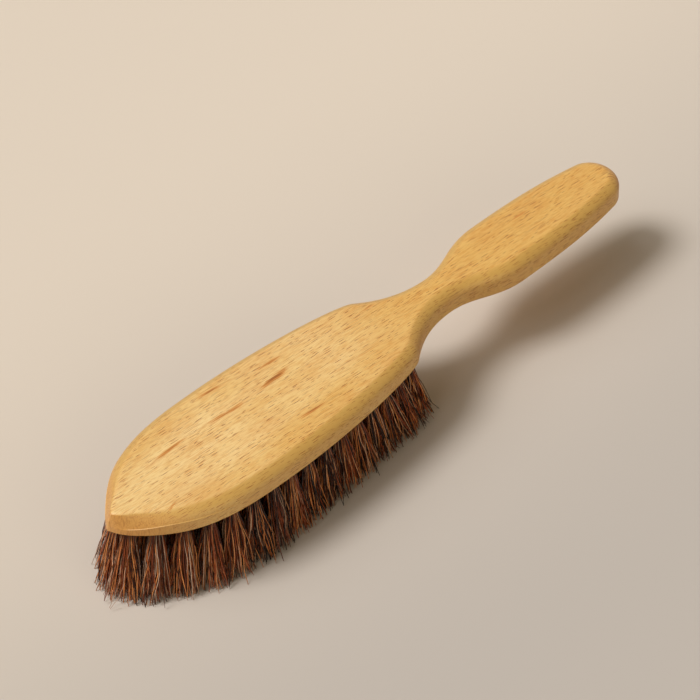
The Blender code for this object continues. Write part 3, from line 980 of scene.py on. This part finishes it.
def add_strip(faces, places, first, levels, cell, size):
    """Faces of one fibre, and where each corner lies in the fibre's own cell of the map."""
    def at(u, v):
        return (cell.x + size * (MAP_MARGIN + MAP_SPAN * u), cell.y + size * (MAP_MARGIN + MAP_SPAN * v))

    for level in range(levels - 1):
        upper, lower = first + level * FIBRE_SIDES, first + (level + 1) * FIBRE_SIDES
        high, low = 1 - level / (levels - 1), 1 - (level + 1) / (levels - 1)
        for k in range(FIBRE_SIDES):
            after = (k + 1) % FIBRE_SIDES
            left, right = (MAP_SIDES_SHARE * side / FIBRE_SIDES for side in (k, k + 1))
            faces.append((upper + k, lower + k, lower + after, upper + after))
            places += [at(left, high), at(left, low), at(right, low), at(right, high)]
    last = first + (levels - 1) * FIBRE_SIDES
    for base, order, low in ((first, (0, 1, 2, 3), MAP_UPPER_END), (last, (3, 2, 1, 0), MAP_LOWER_END)):
        high = low + MAP_ENDS_SIZE
        faces.append(tuple(base + k for k in order))
        places += [at(MAP_ENDS_PLACE, low), at(1, low), at(1, high), at(MAP_ENDS_PLACE, high)]


def add_values(mesh, name, values):
    """A value for each of the mesh's points, for its material to read."""
    mesh.attributes.new(name, "FLOAT", "POINT").data.foreach_set("value", values)


class MakeWood(bpy.types.Operator):
    """Builds the drilled beech stock and handle with rounded, varnished edges"""
    bl_idname = "carpet_brush.make_wood"
    bl_label = "Beech stock and handle"

    def execute(self, context):
        look = context.scene.brush_beech
        mesh = wood_mesh(look)
        wood = add_piece("beech_stock_and_handle", mesh, beech_material(look), "beech", WOOD_NODE)
        drill_holes(wood, frame_tufts())
        wood.data.shade_smooth()
        wood.data.set_sharp_from_angle(angle=SHARP_ANGLE)
        return {"FINISHED"}


class MakeTufts(bpy.types.Operator):
    """Builds every tuft as a fanned bundle of separate stiff fibres"""
    bl_idname = "carpet_brush.make_tufts"
    bl_label = "Fibre tufts"

    def execute(self, context):
        look = context.scene.brush_fibre
        finish = fibre_material(look)
        outline = Outline()
        for number, tuft in enumerate(frame_tufts()):
            mesh = bristle_mesh(tuft, look, random.Random(number), outline)
            name = tuft.node.replace("tuft_", "bristles_")
            add_piece(name, mesh, finish, "bristle", tuft.node)
        return {"FINISHED"}


class MakeStage(bpy.types.Operator):
    """Sets up the pale floor, the soft light and the camera"""
    bl_idname = "carpet_brush.make_stage"
    bl_label = "Floor, light and camera"

    def execute(self, context):
        look = context.scene.brush_stage
        add_floor(look)
        add_lamp("lamp", look.lamp / LAMP_PLACE.z, look.lamp_angle, LAMP_PLACE, LAMP_COLOUR)
        add_lamp("screen", look.screen / LAMP_PLACE.z, look.screen_angle, LAMP_PLACE, LAMP_COLOUR)
        add_lamp("fill", look.fill, look.fill_angle, FILL_PLACE, FILL_COLOUR)
        light_surroundings(context.scene, look)
        add_camera(context.scene)
        context.scene.view_settings.view_transform = "Standard"
        return {"FINISHED"}


def add_floor(look):
    """The floor under the brush."""
    shape = bmesh.new()
    bmesh.ops.create_grid(shape, x_segments=FLOOR_CELLS, y_segments=FLOOR_CELLS, size=look.size / 2)
    mesh = finished_mesh(shape, "floor")
    mesh.materials.append(floor_material(look))
    floor = add_object("floor", mesh)


def add_lamp(name, share, angle, towards, colour):
    """A soft lamp far off in one direction, which gives a share of full light to what faces it."""
    lamp = bpy.data.lights.new(name, "SUN")
    lamp.energy = share * math.pi
    lamp.angle = angle
    lamp.color = colour
    made = add_object(name, lamp)
    made.location = towards * LAMP_DISTANCE
    turn_object(made, towards.to_track_quat("Z", "Y"))


def light_surroundings(scene, look):
    """Even light from all round, and the floor's own pale colour behind it for the camera."""
    scene.world = bpy.data.worlds.new("surroundings")
    scene.world.use_nodes = True
    shading = Shading(scene.world.node_tree)
    ray = shading.add("ShaderNodeLightPath").outputs
    seen = shading.maths("MAXIMUM", ray["Is Camera Ray"], ray["Is Glossy Ray"])
    seen = shading.maths("MAXIMUM", seen, ray["Is Transmission Ray"])
    soft = scene.world.node_tree.nodes["Background"]
    soft.inputs["Color"].default_value = opaque(SURROUNDINGS_COLOUR)
    soft.inputs["Strength"].default_value = look.surroundings
    pale = shading.add("ShaderNodeBackground", {"Color": opaque(look.floor), "Strength": 1.0})
    blend = shading.add("ShaderNodeMixShader", {0: seen, 1: soft.outputs[0], 2: pale.outputs[0]})
    shading.feed(scene.world.node_tree.nodes["World Output"].inputs["Surface"], blend.outputs[0])


def add_camera(scene):
    """The photograph's camera, beyond the nose, on the near side and above."""
    right = Vector((math.cos(CAMERA_TURN), -math.sin(CAMERA_TURN), 0))
    back = Vector((-math.sin(CAMERA_TURN) * math.cos(CAMERA_RISE),
                   -math.cos(CAMERA_TURN) * math.cos(CAMERA_RISE), math.sin(CAMERA_RISE)))
    up = back.cross(right)
    camera = bpy.data.cameras.new("camera")
    camera.lens = FOCAL_LENGTH
    camera.sensor_width = SENSOR_WIDTH
    camera.clip_start, camera.clip_end = CAMERA_CLIP
    made = add_object("camera", camera)
    made.location = CAMERA_TARGET + back * CAMERA_DISTANCE - right * CAMERA_SIDE - up * CAMERA_UP
    turn_object(made, Matrix((right, up, back)).transposed().to_quaternion())
    scene.camera = made


class BrushPanel(bpy.types.Panel):
    """Lists the pieces of the brush with their sizes and colours"""
    bl_idname = "CARPET_BRUSH_PT_looks"
    bl_label = "Carpet brush"
    bl_space_type = "VIEW_3D"
    bl_region_type = "UI"
    bl_category = "Brush"

    def draw(self, context):
        for operator, group in (
                (MakeWood, "brush_beech"), (MakeTufts, "brush_fibre"), (MakeStage, "brush_stage")):
            box = self.layout.box()
            settings = getattr(context.scene, group)
            for name in settings.bl_rna.properties.keys():
                if name not in ("rna_type", "name"):
                    box.prop(settings, name)
            box.operator(operator.bl_idname)


CLASSES = (BeechSettings, FibreSettings, StageSettings, MakeWood, MakeTufts, MakeStage, BrushPanel)


def register():
    for made in CLASSES:
        bpy.utils.register_class(made)
    bpy.types.Scene.brush_beech = PointerProperty(type=BeechSettings)
    bpy.types.Scene.brush_fibre = PointerProperty(type=FibreSettings)
    bpy.types.Scene.brush_stage = PointerProperty(type=StageSettings)


def unregister():
    del bpy.types.Scene.brush_stage
    del bpy.types.Scene.brush_fibre
    del bpy.types.Scene.brush_beech
    for made in reversed(CLASSES):
        bpy.utils.unregister_class(made)


def main():
    """Builds the brush and its stage."""
    register()
    bpy.ops.carpet_brush.make_wood()
    bpy.ops.carpet_brush.make_tufts()
    bpy.ops.carpet_brush.make_stage()


if __name__ == "__main__":
    main()
